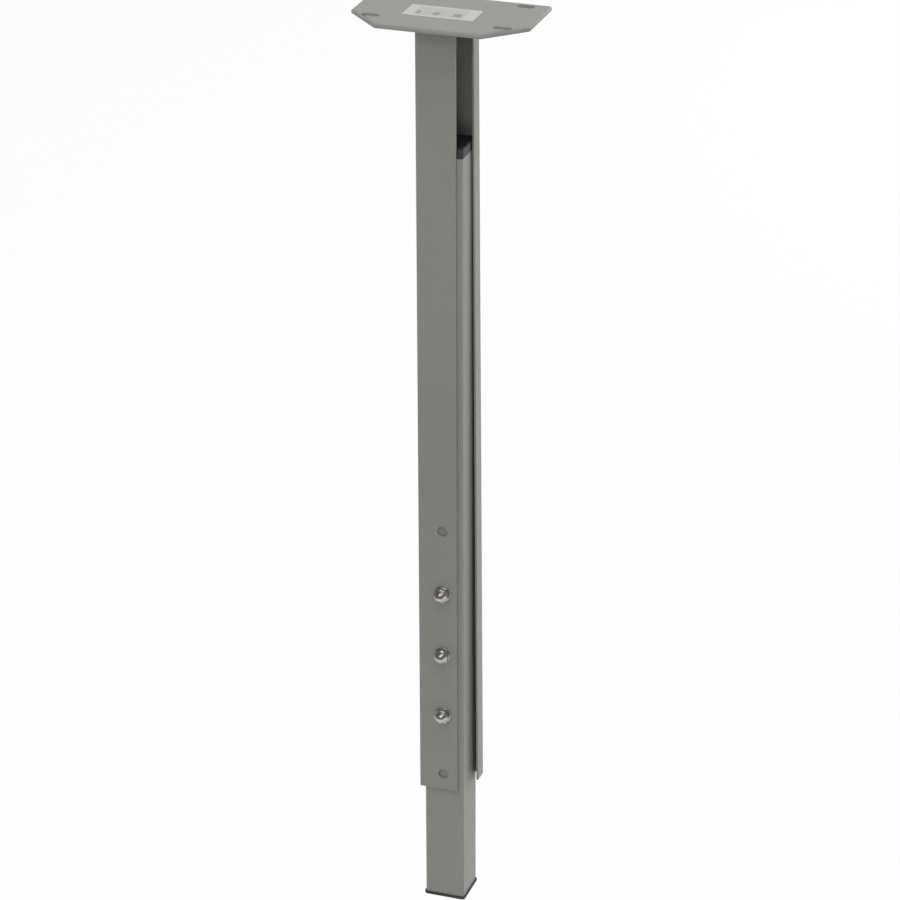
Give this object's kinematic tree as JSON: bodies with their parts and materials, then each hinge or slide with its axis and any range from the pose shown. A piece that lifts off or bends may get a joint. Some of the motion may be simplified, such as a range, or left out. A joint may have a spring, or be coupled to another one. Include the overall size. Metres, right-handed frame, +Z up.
{
  "type": "adjustable furniture leg",
  "caption": "Telescopic steel furniture leg: an open outer profile under a slotted plate, and a square inner tube clamped by studs and cap nuts at the height wanted.",
  "frame": {"origin": "on the leg's axis, in the upper face of the mounting plate", "axes": "+Z up along the leg towards the table top, -Y out of the wall with the row of clamp holes, +X towards the open side of the outer profile"},
  "size_m": [0.128, 0.0759, 0.693],
  "materials": {
    "grey_powder_coat": "satin grey powder coat with a fine texture",
    "zinc_plated_steel": "bright zinc plate",
    "black_plastic": "moulded, matt black"
  },
  "bodies": {
    "outer": {"mounting_plate": "grey_powder_coat", "outer_profile": "grey_powder_coat", "weld_front": "grey_powder_coat", "weld_rear": "grey_powder_coat", "weld_left": "grey_powder_coat", "weld_lip": "grey_powder_coat", "rear_glide_pad": "black_plastic", "left_glide_pad": "black_plastic", "stud_bar": "zinc_plated_steel", "clamp_stud_upper": "zinc_plated_steel", "clamp_stud_middle": "zinc_plated_steel", "clamp_stud_lower": "zinc_plated_steel"},
    "inner": {"inner_tube": "grey_powder_coat", "foot_cap": "black_plastic", "top_guide": "black_plastic"},
    "washer_upper": {"clamp_washer_upper": "zinc_plated_steel"},
    "nut_upper": {"clamp_nut_upper": "zinc_plated_steel"},
    "washer_middle": {"clamp_washer_middle": "zinc_plated_steel"},
    "nut_middle": {"clamp_nut_middle": "zinc_plated_steel"},
    "washer_lower": {"clamp_washer_lower": "zinc_plated_steel"},
    "nut_lower": {"clamp_nut_lower": "zinc_plated_steel"}
  },
  "joints": [
    {"name": "height_slide", "type": "slide", "parent": "outer", "child": "inner", "axis": [0, 0, 1], "range_m": [-0.04, 0.04]},
    {"name": "nut_upper_advance", "type": "slide", "parent": "outer", "child": "washer_upper", "axis": [0, -1, 0], "range_m": [0, 0.002]},
    {"name": "nut_upper_turn", "type": "hinge", "parent": "washer_upper", "child": "nut_upper", "pos_m": [0, -0.0197, -0.436], "axis": [0, -1, 0], "range_deg": [0, 720]},
    {"name": "nut_middle_advance", "type": "slide", "parent": "outer", "child": "washer_middle", "axis": [0, -1, 0], "range_m": [0, 0.002]},
    {"name": "nut_middle_turn", "type": "hinge", "parent": "washer_middle", "child": "nut_middle", "pos_m": [0, -0.0197, -0.486], "axis": [0, -1, 0], "range_deg": [0, 720]},
    {"name": "nut_lower_advance", "type": "slide", "parent": "outer", "child": "washer_lower", "axis": [0, -1, 0], "range_m": [0, 0.002]},
    {"name": "nut_lower_turn", "type": "hinge", "parent": "washer_lower", "child": "nut_lower", "pos_m": [0, -0.0197, -0.536], "axis": [0, -1, 0], "range_deg": [0, 720]}
  ],
  "couplings": [
    {"joint": "nut_upper_turn", "follows": "nut_upper_advance", "rad_per_m": 6283.2},
    {"joint": "nut_middle_turn", "follows": "nut_middle_advance", "rad_per_m": 6283.2},
    {"joint": "nut_lower_turn", "follows": "nut_lower_advance", "rad_per_m": 6283.2}
  ]
}
